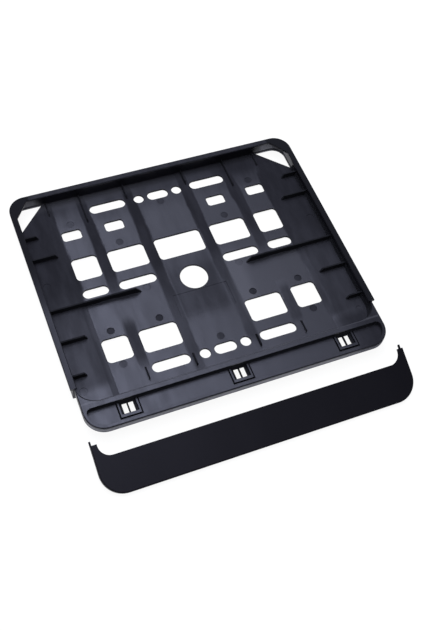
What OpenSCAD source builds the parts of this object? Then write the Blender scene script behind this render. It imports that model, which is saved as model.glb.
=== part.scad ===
// Number plate holder: a moulded tray, and the clip strip that closes its lower edge.
// The tray lies on its back. +Z points to the side the plate shows on, +Y to the top edge.
// The origin is the middle of the four long screw slots, on the back plane.

/* [Number plate] */
// Width of the plate
plate_w = 190; // [184:1:200]
// Height of the plate
plate_h = 150; // [147:1:156]
// Play between the plate and the walls round it
plate_clear = 0.4; // [0.2:0.1:1]
// Radius of the pocket's two lower corners
pocket_r = 12.5; // [10:0.5:16]
// Height over the back plane at which the plate rests
plate_rest = 7.2; // [6:0.1:8]

/* [Rim] */
// Height of the rim and the shelf over the back plane
rim_h = 12; // [11.5:0.5:14]
// Thickness of the upright walls
wall_t = 1.4; // [1:0.1:1.8]
// Reach of the flange outwards past the wall
flange_out = 1.2; // [0.6:0.1:1.6]
// Thickness of the flange and of the lip
flange_t = 1.6; // [1.2:0.1:2]
// Reach of the lip inwards over the plate
lip_in = 1.2; // [0.8:0.1:2]
// Outer radius of the two upper corners
rim_r = 11; // [8:0.5:14]
// Bevel along the top edges of the flange
flange_bevel = 0.4; // [0.2:0.1:0.6]
// Lower face of the pocket up to the lower ends of the side walls
wall_end_up = 11; // [9:0.1:13]
// Slope of the wall's foot into the pan, measured along the back plane
foot_in = 2; // [1:0.1:2.5]
// Corner web of the lip, along the top
web_x = 8.8; // [6:0.1:11]
// Corner web of the lip, along the side
web_y = 11.5; // [8:0.1:14]

/* [Pan floor] */
// Thickness of the floor
floor_t = 1.5; // [1.2:0.1:2]
// Rise of the floor at the first ramp from the middle
rise_1 = 0.4; // [0.2:0.1:0.6]
// Rise at the second ramp
rise_2 = 0.7; // [0.3:0.1:0.9]
// Rise at the outermost ramp
rise_3 = 0.7; // [0.3:0.1:0.9]
// Middle of the first ramp from the centre line
ramp_1 = 19.4; // [19:0.1:20]
// Middle of the second ramp
ramp_2 = 50.7; // [50:0.1:51.5]
// Middle of the outermost ramp
ramp_3 = 72.9; // [72.5:0.1:74]
// Width of the two inner ramps
ramp_w = 6; // [4:0.5:6]
// Width of the outermost ramp
ramp_3_w = 4; // [2:0.5:4]
// Part of the pocket's upper corners left open, along both sides
corner_open = 20.3; // [16:0.1:22]
// Height of the walls' lower edges over the back plane at the corner openings
corner_up = 1.5; // [0.5:0.1:1.7]

/* [Screw holes] */
// Upper row of screw holes below the top wall of the pocket
upper_row_gap = 13.1; // [10:0.1:14]
// Lower row of screw holes above the lower wall of the pocket
lower_row_gap = 14.1; // [10:0.1:15]
// Long slots, distance between the two columns
slot_dx = 70; // [68:1:72]
// Length of the long slots
slot_l = 24.3; // [18:0.1:25]
// Width of the long slots
slot_w = 7; // [5:0.1:7.5]
// Small round holes, distance between the two columns
hole_dx = 26.6; // [25:0.1:27]
// Diameter of the small round holes
hole_d = 6.8; // [5:0.1:7.4]
// Length of the middle slot of each row
mid_slot_l = 14.4; // [9:0.1:16]
// Diameter of the large hole
big_d = 18.1; // [12:0.1:19]
// Large hole below the middle of the screw slots
big_drop = 7.5; // [7:0.1:8]

/* [Windows] */
// Outer column of windows from the centre line
outer_x = 62.5; // [62:0.1:63]
// Inner column of windows from the centre line
inner_x = 35; // [34.5:0.1:35.5]
// Width of the outer windows
outer_w = 16.6; // [12:0.1:17]
// Width of the inner windows
inner_w = 24.4; // [18:0.1:24.6]
// Width of the middle window
middle_w = 31.5; // [24:0.5:32]
// Height of the upper windows
window_h = 17; // [12:0.1:18]
// Height of the lower windows
lower_window_h = 16.5; // [12:0.1:18]
// Corner radius of the large windows
window_r = 2.8; // [0.5:0.1:3.2]
// Upper row of windows above the middle of the screw slots
upper_y = 18.7; // [18:0.1:19.5]
// Lower row of windows above the lower row of screw holes
lower_up = 19; // [18:0.1:20]
// Outer pair of small upper windows from the centre line
small_outer_x = 64; // [63:0.1:65]
// Inner pair of small upper windows from the centre line
small_inner_x = 35.5; // [34:0.1:37]
// Width of the small upper windows
small_w = 12.6; // [9:0.1:14]
// Height of the small upper windows
small_h = 7.6; // [5:0.1:9]
// Corner radius of the small upper windows
small_r = 2; // [0.5:0.1:2.2]
// Small upper windows below the upper row of screw holes
small_down = 16.2; // [15:0.1:17]
// Width of the strap slots beside the large hole
strap_w = 6.8; // [4:0.1:7.2]
// Strap slots above the middle of the screw slots
strap_y = -0.3; // [-0.6:0.1:0.4]

/* [Ribs] */
// Thickness of the side ribs
rib_t = 1; // [0.8:0.1:1.4]
// Thickness of the ribs that run up and down
thin_rib_t = 0.8; // [0.6:0.1:1.2]
// Height of the ribs that run up and down, over the back plane
thin_rib_h = 4.5; // [4.2:0.1:6]
// Slant of the ribs' free ends
rib_slant = 2.2; // [1:0.1:3]
// Slant of the two long ribs' free ends
long_rib_slant = 4.3; // [2:0.1:5]
// Upper pair of side ribs, the first and the second below the top wall
side_rib_1 = 26.3; // [22:0.1:28]
side_rib_2 = 43.7; // [40:0.1:46]
// Long side ribs below the middle of the screw slots
long_rib_down = 8.1; // [7:0.1:9]
// Lower pair of side ribs, the upper and the lower above the pocket's lower wall
side_rib_3 = 45.3; // [43:0.1:48]
side_rib_4 = 21.4; // [20:0.1:24]
// Inner ribs from the centre line
inner_rib_x = 20.8; // [20:0.1:21.5]
// Middle ribs from the centre line
middle_rib_x = 51; // [50:0.1:51.8]
// Outer ribs from the centre line
outer_rib_x = 73.3; // [73:0.1:74.5]
// Free end of the short side ribs from the centre line
short_rib_x = 84.4; // [80:0.1:88]
// Free end of the medium side ribs
medium_rib_x = 76.8; // [75.5:0.1:80]
// Free end of the long side ribs
long_rib_x = 34.9; // [30:0.1:40]
// Reach of the short top ribs below the top wall
short_rib_l = 11.7; // [9:0.1:13]
// Reach of the long top ribs below the top wall
long_rib_l = 22.9; // [18:0.1:25]
// Gap between the loose ribs and the pocket's lower wall
low_rib_gap = 7.6; // [5:0.1:9]
// Length of the loose ribs near the shelf
low_rib_l = 9.3; // [6:0.1:10]

/* [Moulding marks] */
// Diameter of the ejector marks
mark_d = 4.8; // [3:0.1:5]
// Depth of the ejector marks and of the insert's field
mark_depth = 0.2; // [0.1:0.05:0.3]
// Depth of the marks above the lower windows
deep_mark = 0.5; // [0.3:0.1:0.8]
// Marks above a window or a row of holes, from its edge to the mark's middle
mark_above = 4.7; // [3.5:0.1:5.5]
// Marks below a window or a row of holes, from its edge to the mark's middle
mark_below = 2.8; // [2.7:0.1:3.2]
// Marks above the inner upper windows, from the centre line
mark_upper_x = 36.4; // [33:0.1:40]
// Marks beside the long ribs and above the inner lower windows, from the centre line
mark_lower_x = 31.3; // [29:0.1:34]
// Marks near the side walls, in from the pocket's sides
mark_side = 5.4; // [4.5:0.1:7]
// Upper marks near the side walls above the middle of the screw slots
mark_side_y = 11.8; // [8:0.1:16]
// Lower marks near the side walls above the pocket's lower wall
mark_corner_y = 11.9; // [10:0.1:14]
// Width of the bare insert field under the large hole
insert_w = 36; // [30:0.5:37]
// Height of the bare insert field
insert_h = 17; // [12:0.5:17.5]
// Gap between the large hole and the insert field
insert_gap = 0.7; // [0.4:0.1:1.5]

/* [Shelf] */
// Depth of the shelf, from the pocket's lower face to its front edge
shelf_w = 18.6; // [18.2:0.1:21]
// Outer radius of the shelf's front corners
shelf_r = 12.4; // [9:0.1:14]
// Rounding of the shelf's front edge
shelf_edge_r = 0.8; // [0.4:0.1:1]
// Rounding of the shelf's edge to the pan
pan_edge_r = 1; // [0.5:0.1:1.2]
// Depth of the recessed panel
panel_d = 3.5; // [2.5:0.1:4]
// Thickness of the panel
panel_t = 1.4; // [1.2:0.1:1.8]
// Border left round the panel at the front and the sides
panel_border = 2.2; // [1.5:0.1:3]
// Band left between the pan's lower wall and the panel
panel_band = 3.7; // [3.6:0.1:5]
// Radius of the panel's two inner corners
panel_r = 3; // [1.5:0.1:4]
// Thickness of the gusset ribs under the shelf
gusset_t = 1.2; // [0.8:0.1:1.8]
// Outermost gussets from the centre line
gusset_x = 86; // [80:0.1:88]
// Gap between the gussets' tips and the shelf's front edge
gusset_gap = 3.5; // [2:0.1:8]
// Height of the gussets' feet over the back plane
gusset_foot = 0.8; // [0.2:0.1:2]

/* [Snap sockets] */
// Outer sockets from the centre line
socket_x = 69.3; // [66:0.1:72]
// Width of a socket inside
socket_w = 10.2; // [9:0.1:12]
// Length of a socket inside, from the panel's inner edge to the front
socket_l = 8.1; // [7.6:0.1:9]
// Thickness of the sockets' walls
socket_wall = 1; // [0.8:0.1:1.4]
// Thickness of the sockets' front walls
socket_front = 1.8; // [1.2:0.1:2]
// Height of the sockets' rims over the panel
socket_up = 0.4; // [0.2:0.1:1]
// Width of the groove round the sockets' rims
groove_w = 0.8; // [0.5:0.1:1]
// Depth of the groove, below the panel
groove_d = 1.8; // [0.8:0.1:2]
// Height of a socket's floor over the back plane
socket_z = 7.2; // [6.5:0.1:8]
// Thickness of a socket's floor
socket_floor = 1.4; // [1:0.1:1.8]
// Width of each of a socket's two windows
socket_win_w = 3.1; // [2.8:0.1:3.4]
// Bar left between the two windows
socket_bar = 0.8; // [0.6:0.1:1.4]
// Floor left behind the windows, which the hooks catch under
socket_catch = 0.6; // [0.4:0.1:0.9]
// Floor left in front of the windows
socket_toe = 0.8; // [0.5:0.1:1.2]

/* [Clip strip] */
// Thickness of the strip's face
strip_t = 1.6; // [1.2:0.1:2]
// Thickness of the skirt round the strip's outer edge
skirt_t = 1.6; // [1.2:0.1:1.8]
// Play between the skirt and the shelf
skirt_clear = 0.6; // [0.3:0.1:0.8]
// Depth of the skirt below the strip's face
skirt_d = 3.8; // [3:0.1:4.5]
// Rounding of the strip's outer edge
strip_edge_r = 1; // [0.5:0.1:1.2]
// Outer radius of the strip's front corners
strip_r = 14; // [11:0.5:16]
// Reach of the strip over the lower edge of the plate
strip_lap = 1.3; // [0.8:0.1:2.5]
// Radius between the strip's straight edge and its horns
horn_r = 7.2; // [5:0.1:7.8]
// Gap between the horns and the ends of the side walls
horn_gap = 1.2; // [0.3:0.1:1.6]
// Reach of the tongues under the rim's flange
tongue_lap = 1.4; // [0.5:0.1:3]
// Length of the tongues' roots along the skirt
tongue_root = 6; // [3:0.1:10]
// Thickness of the tongues
tongue_t = 1.1; // [0.7:0.1:1.3]
// Play between a tongue and what it slides along
tongue_clear = 0.1; // [0.05:0.05:0.3]
// Width of each hook prong
prong_w = 2.4; // [1.8:0.1:2.6]
// Thickness of each hook prong
prong_t = 1.8; // [1.2:0.1:2.2]
// Reach of the barb on each prong
barb_out = 0.9; // [0.5:0.1:1.2]
// Height of the barb
barb_h = 1.2; // [0.8:0.1:1.6]
// Play of the hooks in their sockets
hook_clear = 0.2; // [0.1:0.05:0.3]
// Gap between the tray and the tongues as the strip lies in front of it
strip_gap = 3.8; // [1:0.1:20]

/* [Hidden] */
$fn = 64;

// Overlap between parts of one moulding, so that they fuse
fuse = 0.3;
// Allowance by which a cutter runs past a face
past = 1;

// Pocket that the plate lies in
pocket_hw = plate_w / 2 + plate_clear;
pocket_h = plate_h + 2 * plate_clear;
row_y = (pocket_h - upper_row_gap - lower_row_gap) / 2;
pocket_top = row_y + upper_row_gap;
pocket_low = -row_y - lower_row_gap;
// Lower ends of the side walls
wall_end = pocket_low + wall_end_up;
lip_x = pocket_hw - lip_in;
lip_y = pocket_top - lip_in;

// Outer edge of the rim
rim_out = wall_t + flange_out;
rim_hw = pocket_hw + rim_out;
rim_top = pocket_top + rim_out;

// Edge of the shelf, set in by the skirt that wraps it
shelf_hw = rim_hw - skirt_t - skirt_clear;
shelf_front = pocket_low - shelf_w;
shelf_t = panel_d + panel_t;
panel_z = rim_h - panel_d;
panel_top = pocket_low - panel_band;
// The pan's lower corners may start above the ends of the side walls
shelf_top_y = max(wall_end, pocket_low + pocket_r);

// Underside of the floor, from the centre line outwards, as distance and height pairs
floor_steps = [
    [0, 0],
    [ramp_1 - ramp_w / 2, 0],
    [ramp_1 + ramp_w / 2, rise_1],
    [ramp_2 - ramp_w / 2, rise_1],
    [ramp_2 + ramp_w / 2, rise_1 + rise_2],
    [ramp_3 - ramp_3_w / 2, rise_1 + rise_2],
    [ramp_3 + ramp_3_w / 2, rise_1 + rise_2 + rise_3],
    [rim_hw, rise_1 + rise_2 + rise_3],
];
function floor_z(x) = lookup(abs(x), floor_steps);
function floor_mid(x) = floor_z(x) + floor_t / 2;

// Height of the foot's slope, which ends where the plate rests
foot_h = plate_rest;
// The floor ends inside the sloped foot
floor_inset = 0.4 * foot_in;
// Lower end of the corner openings, where the sloped foot stops
corner_y = pocket_top - corner_open;

// Screw holes, windows and strap slots
slot_x = slot_dx / 2;
hole_x = hole_dx / 2;
lower_y = lower_up - row_y;
small_y = row_y - small_down;
insert_top = -big_drop - big_d / 2 - insert_gap;

// Side ribs: place along the wall, free end, slant of that end
side_ribs = [
    [pocket_top - side_rib_1, short_rib_x, rib_slant],
    [pocket_top - side_rib_2, medium_rib_x, rib_slant],
    [-long_rib_down, long_rib_x, long_rib_slant],
    [pocket_low + side_rib_3, medium_rib_x, rib_slant],
    [pocket_low + side_rib_4, short_rib_x, rib_slant],
];
// Lower ends of the loose ribs
low_rib_end = pocket_low + low_rib_gap;
// Top ribs: distance from the centre line, reach below the top wall
top_ribs = [
    [inner_rib_x, short_rib_l],
    [middle_rib_x, long_rib_l],
    [outer_rib_x, short_rib_l],
];

// Ejector marks on the centre line, and those that come in pairs
centre_marks = [
    [0, row_y - slot_w / 2 - mark_below],
    [0, -row_y + slot_w / 2 + mark_above],
];
pair_marks = [
    [outer_x, small_y + small_h / 2 + mark_above],
    [mark_upper_x, upper_y + window_h / 2 + mark_above],
    [pocket_hw - mark_side, mark_side_y],
    [mark_lower_x, strap_y - strap_w / 2 - mark_below],
    [outer_x, lower_y - lower_window_h / 2 - mark_below],
    [pocket_hw - mark_side, pocket_low + mark_corner_y],
];
deep_marks = [for (x = [outer_x, mark_lower_x]) [x, lower_y + lower_window_h / 2 + mark_above]];

// Snap sockets
socket_xs = [-socket_x, 0, socket_x];
socket_win_x = (socket_win_w + socket_bar) / 2;
socket_win_top = panel_top - socket_catch;
socket_win_low = panel_top - socket_l + socket_toe;

// Strip in its own frame: outer face at zero, front edge at zero, measured as when snapped on
strip_hw = rim_hw;
strip_front = shelf_front - skirt_clear - skirt_t;
strip_h = pocket_low + plate_clear + strip_lap - strip_front;
horn_top = wall_end - horn_gap - strip_front;
tongue_tip = wall_end + tongue_lap - strip_front;
tongue_z = strip_t + flange_t + tongue_clear;
hook_y = socket_win_top - hook_clear - prong_t - strip_front;
barb_top = strip_t + rim_h - socket_z + socket_floor + tongue_clear;
hook_d = barb_top + barb_h;
barb_lead = 0.4 * barb_out;

// The loose strip rests on the lower edge of its skirt and on the tips of its hooks
rest_tilt = atan((hook_d - skirt_d) / (hook_y + barb_lead));
strip_lift = skirt_d * cos(rest_tilt);
strip_y = shelf_front - strip_gap - tongue_tip * cos(rest_tilt)
    - (tongue_z + tongue_t) * sin(rest_tilt);

// Slot with round ends, centred, running along X
module slot(x, y, length, width) {
    translate([x, y]) {
        square([length - width, width], center = true);
        for (s = [-1, 1]) translate([s * (length - width) / 2, 0]) circle(d = width);
    }
}

// Rectangle with round corners, centred
module window(x, y, w, h, r) {
    translate([x, y]) {
        square([w - 2 * r, h], center = true);
        square([w, h - 2 * r], center = true);
        for (sx = [-1, 1]) for (sy = [-1, 1])
            translate([sx * (w / 2 - r), sy * (h / 2 - r)]) circle(r);
    }
}

// Quarter of a round, filling the corner between both axes
module quarter(r) {
    intersection() {
        circle(r);
        square(r);
    }
}

// Plan with two round lower corners, from y_low up to y_top
module low_plan(hw, y_low, y_top, r) {
    translate([-hw, y_low + r]) square([2 * hw, y_top - y_low - r]);
    translate([r - hw, y_low]) square([2 * (hw - r), r + fuse]);
    for (s = [-1, 1]) translate([s * (hw - r), y_low + r]) circle(r);
}

// Sweeps a section along a U: down one side, round a corner, along the low edge and up again.
// In the section, X is the distance outwards from the U and Y is the height.
module sweep_u(hw, y_low, y_top, r) {
    side = y_top - y_low - r;
    for (s = [0, 1]) mirror([s, 0, 0]) {
        if (side > 0) translate([hw, y_top, 0]) rotate([90, 0, 0]) linear_extrude(side) children();
        translate([hw - r, y_low + r, 0]) rotate([0, 0, -90])
            rotate_extrude(angle = 90) translate([r, 0]) children();
    }
    translate([hw - r, y_low, 0]) rotate([90, 0, -90]) linear_extrude(2 * (hw - r)) children();
}

// Extrudes a section, drawn in Y and Z, along X over a width that is centred on x
module across(x, width) {
    translate([x - width / 2, 0, 0]) rotate([90, 0, 90]) linear_extrude(width) children();
}

// Extrudes a section, drawn in X and Z, along Y between two places
module along(y_from, y_to) {
    translate([0, y_to, 0]) rotate([90, 0, 0]) linear_extrude(y_to - y_from) children();
}

// Section of the rim: straight wall, flange outside, lip inside
module rim_section() {
    polygon([
        [0, 0],
        [wall_t, 0],
        [wall_t, rim_h - flange_t],
        [rim_out, rim_h - flange_t],
        [rim_out, rim_h - flange_bevel],
        [rim_out - flange_bevel, rim_h],
        [flange_bevel - lip_in, rim_h],
        [-lip_in, rim_h - flange_bevel],
        [-lip_in, rim_h - flange_t],
        [0, rim_h - flange_t],
    ]);
}

// Section of the pan's lower wall, with a sloped foot and a rounded top edge
module pan_wall_section() {
    polygon([
        [-foot_in, 0],
        [wall_t - foot_in, 0],
        [wall_t, foot_h],
        [wall_t, rim_h],
        [pan_edge_r, rim_h],
        [pan_edge_r, rim_h - pan_edge_r],
        [0, rim_h - pan_edge_r],
        [0, foot_h],
    ]);
    translate([pan_edge_r, rim_h - pan_edge_r]) mirror([1, 0]) quarter(pan_edge_r);
}

// Rim on three sides, with a web across each upper corner of the lip.
// At the corner openings its walls stand clear of the back plane.
module rim() {
    corner_cut = corner_open + rim_out + past;
    difference() {
        mirror([0, 1, 0]) sweep_u(pocket_hw, -pocket_top, -wall_end, rim_r - rim_out) rim_section();
        for (s = [0, 1]) mirror([s, 0, 0]) translate([pocket_hw - corner_open, corner_y, -past])
            cube([corner_cut, corner_cut, past + corner_up]);
    }
    translate([0, 0, rim_h - flange_t]) linear_extrude(flange_t) intersection() {
        for (s = [0, 1]) mirror([s, 0]) polygon([
            [lip_x + fuse, lip_y + fuse],
            [lip_x + fuse, lip_y - web_y],
            [lip_x, lip_y - web_y],
            [lip_x - web_x, lip_y],
            [lip_x - web_x, lip_y + fuse],
        ]);
        mirror([0, 1]) low_plan(rim_hw - flange_bevel, flange_bevel - rim_top, -wall_end,
            rim_r - flange_bevel);
    }
}

// Sloped foot of the side walls, from the wall's end up to the corner openings
module side_feet() {
    for (s = [0, 1]) mirror([s, 0, 0]) along(wall_end, corner_y)
        polygon([
            [pocket_hw - foot_in, 0],
            [pocket_hw + fuse, 0],
            [pocket_hw + fuse, foot_h],
            [pocket_hw, foot_h],
        ]);
}

// Everything that goes through the floor
module floor_holes() {
    for (sx = [-1, 1]) {
        for (sy = [-1, 1]) {
            slot(sx * slot_x, sy * row_y, slot_l, slot_w);
            translate([sx * hole_x, sy * row_y]) circle(d = hole_d);
        }
        for (w = [[outer_x, outer_w], [inner_x, inner_w]]) {
            window(sx * w[0], upper_y, w[1], window_h, window_r);
            window(sx * w[0], lower_y, w[1], lower_window_h, window_r);
        }
        for (x = [small_outer_x, small_inner_x]) window(sx * x, small_y, small_w, small_h, small_r);
        slot(sx * outer_x, strap_y, outer_w, strap_w);
        slot(sx * inner_x, strap_y, inner_w, strap_w);
    }
    for (sy = [-1, 1]) slot(0, sy * row_y, mid_slot_l, slot_w);
    window(0, upper_y, middle_w, window_h, window_r);
    translate([0, -big_drop]) circle(d = big_d);
}

// Floor in steps, open at the screw holes, the windows and the two upper corners
module pan_floor() {
    difference() {
        intersection() {
            along(pocket_low, pocket_top + fuse) polygon(concat(
                [for (p = floor_steps) p],
                [for (i = [len(floor_steps) - 1 : -1 : 0]) floor_steps[i] + [0, floor_t]],
                [for (i = [1 : len(floor_steps) - 1]) [-floor_steps[i].x, floor_steps[i].y + floor_t]],
                [for (i = [len(floor_steps) - 1 : -1 : 1]) [-floor_steps[i].x, floor_steps[i].y]]
            ));
            linear_extrude(rim_h) low_plan(pocket_hw - floor_inset, pocket_low + floor_inset,
                pocket_top + fuse, pocket_r - floor_inset);
        }
        translate([0, 0, -past]) linear_extrude(rim_h) {
            floor_holes();
            for (s = [0, 1]) mirror([s, 0]) polygon([
                [pocket_hw - corner_open - past, pocket_top + past],
                [pocket_hw + past, pocket_top + past],
                [pocket_hw + past, corner_y - past],
            ]);
        }
        for (p = centre_marks) mark(p, mark_depth);
        for (s = [-1, 1]) {
            for (p = pair_marks) mark([s * p.x, p.y], mark_depth);
            for (p = deep_marks) mark([s * p.x, p.y], deep_mark);
        }
        translate([-insert_w / 2, insert_top - insert_h, floor_t - mark_depth])
            cube([insert_w, insert_h, past]);
    }
}

// Cutter for one ejector mark, at the depth of the floor where it lies
module mark(p, depth) {
    translate([p.x, p.y, floor_z(p.x) + floor_t - depth]) cylinder(d = mark_d, h = past);
}

// Side rib: stands on the stepped floor and ends in a slant
module side_rib(y, free_end, slant) {
    along(y - rib_t / 2, y + rib_t / 2) polygon(concat(
        [[free_end, floor_mid(free_end)], [free_end + slant, plate_rest]],
        [[pocket_hw + fuse, plate_rest], [pocket_hw + fuse, floor_mid(pocket_hw)]],
        [for (i = [len(floor_steps) - 2 : -1 : 0]) if (floor_steps[i].x > free_end)
            floor_steps[i] + [0, floor_t / 2]]
    ));
}

// Thin rib with a round top, from one place to another. Both ends slant inwards by their amounts.
module thin_rib(x, y_from, y_to, slant_from, slant_to) {
    intersection() {
        along(y_from, y_to) translate([x, 0]) {
            translate([-thin_rib_t / 2, 0]) square([thin_rib_t, thin_rib_h - thin_rib_t / 2]);
            translate([0, thin_rib_h - thin_rib_t / 2]) circle(d = thin_rib_t);
        }
        across(x, thin_rib_t + 2 * past) polygon([
            [y_from, floor_mid(x)],
            [y_from + slant_from, thin_rib_h + past],
            [y_to - slant_to, thin_rib_h + past],
            [y_to, floor_mid(x)],
        ]);
    }
}

// All ribs, mirrored left and right
module ribs() {
    for (s = [0, 1]) mirror([s, 0, 0]) {
        for (r = side_ribs) side_rib(r[0], r[1], r[2]);
        for (r = top_ribs) thin_rib(r[0], pocket_top - r[1], pocket_top + fuse, rib_slant, 0);
        for (x = [inner_rib_x, middle_rib_x])
            thin_rib(x, low_rib_end, low_rib_end + low_rib_l, 0, rib_slant);
    }
}

// Solid outline of the shelf, its outer edge rounded at the top
module shelf_block() {
    linear_extrude(rim_h - shelf_edge_r) low_plan(shelf_hw, shelf_front, shelf_top_y, shelf_r);
    linear_extrude(rim_h) low_plan(shelf_hw - shelf_edge_r, shelf_front + shelf_edge_r,
        shelf_top_y, shelf_r - shelf_edge_r);
    sweep_u(shelf_hw, shelf_front, shelf_top_y, shelf_r)
        translate([-shelf_edge_r, rim_h - shelf_edge_r]) quarter(shelf_edge_r);
}

// Flat of the shelf outside the pan's rounded edge
module shelf_flat() {
    translate([0, 0, rim_h - shelf_t]) linear_extrude(shelf_t) difference() {
        low_plan(shelf_hw, shelf_front, wall_end, shelf_r);
        low_plan(pocket_hw + pan_edge_r, pocket_low - pan_edge_r, past + wall_end,
            pocket_r + pan_edge_r);
    }
}

// Panel sunk into the shelf: its front corners follow the shelf, its inner corners are tight
module panel_plan() {
    hw = shelf_hw - panel_border;
    front = shelf_front + panel_border;
    intersection() {
        low_plan(hw, front, panel_top + past, shelf_r - panel_border);
        mirror([0, 1]) low_plan(hw, -panel_top, past - front, panel_r);
    }
}

// Middle of the pan's lower wall at a height, outwards from the pocket's face
function foot_mid(z) = wall_t / 2 - foot_in * max(0, 1 - z / foot_h);

// Rib under the shelf, from the foot of the pan's wall out to the front
module gusset(x) {
    top = rim_h - shelf_t + fuse;
    across(x, gusset_t) polygon([
        for (z = [gusset_foot, if (foot_h < top) foot_h, top]) [pocket_low - foot_mid(z), z],
        [shelf_front + gusset_gap, top],
        [shelf_front + gusset_gap, top - fuse],
    ]);
}

// Outline of one socket's rim, grown all round by a margin, from its front up to a line
module socket_plan(x, margin, y_top) {
    half = socket_w / 2 + socket_wall + margin;
    low = panel_top - socket_l - socket_front - margin;
    translate([x - half, low]) square([2 * half, y_top - low]);
}

// Box of one socket under the shelf, wide enough to hold the groove round its rim
module socket_body(x) {
    translate([0, 0, socket_z - socket_floor]) linear_extrude(rim_h - socket_z + socket_floor)
        socket_plan(x, groove_w + socket_wall, panel_top + socket_wall);
}

// Cutter for the panel, with the sockets' rims left standing in it
module panel_hollow() {
    difference() {
        translate([0, 0, panel_z]) linear_extrude(rim_h) panel_plan();
        for (x = socket_xs) linear_extrude(panel_z + socket_up) socket_plan(x, 0, panel_top + past);
    }
}

// Cutter for the groove round one socket's rim
module socket_groove(x) {
    translate([0, 0, panel_z - groove_d]) linear_extrude(groove_d + socket_up) difference() {
        socket_plan(x, groove_w, panel_top);
        socket_plan(x, 0, panel_top + past);
    }
}

// Cutter for the inside of one socket and for the two windows in its floor
module socket_hollow(x) {
    translate([x - socket_w / 2, panel_top - socket_l, socket_z]) cube([socket_w, socket_l, rim_h]);
    for (s = [-1, 1]) translate([x + s * socket_win_x - socket_win_w / 2, socket_win_low, 0])
        cube([socket_win_w, socket_win_top - socket_win_low, rim_h]);
}

// Shelf with the pan's lower wall, the sunk panel, the sockets and the gussets
module shelf() {
    difference() {
        intersection() {
            shelf_block();
            union() {
                sweep_u(pocket_hw, pocket_low, wall_end, pocket_r) pan_wall_section();
                shelf_flat();
                for (x = socket_xs) socket_body(x);
                for (x = [inner_rib_x, middle_rib_x, gusset_x]) {
                    gusset(x);
                    gusset(-x);
                }
            }
        }
        panel_hollow();
        for (x = socket_xs) {
            socket_groove(x);
            socket_hollow(x);
        }
    }
}

// The tray, one moulding
module plate_tray() color("#484a55") {
    rim();
    side_feet();
    pan_floor();
    ribs();
    shelf();
}

// Section of the strip's skirt, its outer edge rounded at the face
module skirt_section() {
    translate([-skirt_t, -skirt_d]) square([skirt_t, skirt_d - strip_edge_r]);
    translate([-skirt_t, -strip_edge_r - fuse]) square([skirt_t - strip_edge_r, strip_edge_r + fuse]);
    translate([-strip_edge_r, -strip_edge_r]) quarter(strip_edge_r);
}

// Face of the strip inside its rounded edge, with two horns beside the pocket
module strip_plan() {
    difference() {
        low_plan(strip_hw - strip_edge_r, strip_edge_r, horn_top, strip_r - strip_edge_r);
        low_plan(lip_x, strip_h, horn_top + past, horn_r);
    }
}

// Tongue at the end of a horn, which slides in under the rim's flange
module tongue() {
    inside = pocket_hw + wall_t + tongue_clear;
    across((inside + strip_hw) / 2, strip_hw - inside) polygon([
        [horn_top - tongue_root, -strip_t],
        [horn_top - tongue_root, -skirt_d],
        [horn_top - tongue_root / 2, -tongue_z - tongue_t],
        [tongue_tip - tongue_t / 2, -tongue_z - tongue_t],
        [tongue_tip, -tongue_z - tongue_t / 2],
        [tongue_tip, -tongue_z],
        [horn_top, -tongue_z],
        [horn_top, -strip_t],
    ]);
}

// Hook with two prongs, one for each window of a socket
module hook(x) {
    for (s = [-1, 1]) across(x + s * socket_win_x, prong_w) polygon([
        [hook_y, fuse - strip_t],
        [hook_y + prong_t, fuse - strip_t],
        [hook_y + prong_t, -barb_top],
        [hook_y + prong_t + barb_out, -barb_top],
        [hook_y + prong_t - barb_lead, -hook_d],
        [hook_y + barb_lead, -hook_d],
        [hook_y, -barb_top - barb_h / 2],
    ]);
}

// The strip as it would be snapped on, in its own frame
module strip() {
    translate([0, 0, -strip_t]) linear_extrude(strip_t) strip_plan();
    sweep_u(strip_hw, 0, horn_top, strip_r) skirt_section();
    for (s = [0, 1]) mirror([s, 0, 0]) tongue();
    for (x = socket_xs) hook(x);
}

// The strip, lying loose in front of the tray on its skirt and its hooks
module clip_strip() color("#1a191e")
    translate([0, strip_y, strip_lift]) rotate([rest_tilt, 0, 0]) strip();

plate_tray();
clip_strip();
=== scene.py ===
import math
from collections import namedtuple

import bpy
from bpy.props import FloatProperty, FloatVectorProperty, PointerProperty
from mathutils import Matrix, Vector

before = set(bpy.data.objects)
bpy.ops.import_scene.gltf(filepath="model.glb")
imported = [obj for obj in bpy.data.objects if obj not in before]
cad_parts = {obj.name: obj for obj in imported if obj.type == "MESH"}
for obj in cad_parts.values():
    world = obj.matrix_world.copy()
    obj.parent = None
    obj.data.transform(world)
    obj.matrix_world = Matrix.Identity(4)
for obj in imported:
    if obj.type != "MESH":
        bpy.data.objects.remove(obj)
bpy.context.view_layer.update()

bl_info = {
    "name": "Number plate holder",
    "version": (1, 0, 0),
    "blender": (4, 5, 0),
    "location": "View3D > Sidebar > Plate holder",
    "description": "Gives a moulded number plate holder its plastics and sets up its studio",
    "category": "Object",
}

MM = 0.001

# Height of the photograph and focal length in its pixels, and the sensor's long side in millimetres
PHOTO_H = 631
FOCAL_PX = 921.1
SENSOR = 36.0

# Places on the tray are in millimetres. A pair of places is a span over which a level changes.

# Ramps of the floor: middle line, width, and what the floor rises there
RAMPS = ((19.4, 6.0, 0.4), (50.7, 6.0, 0.7), (72.9, 4.0, 0.7))
FLOOR_TOP = 1.5
# How far off the floor's height a point still counts as floor, fully and at all
FLUSH = (0.6, 0.75)

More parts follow.
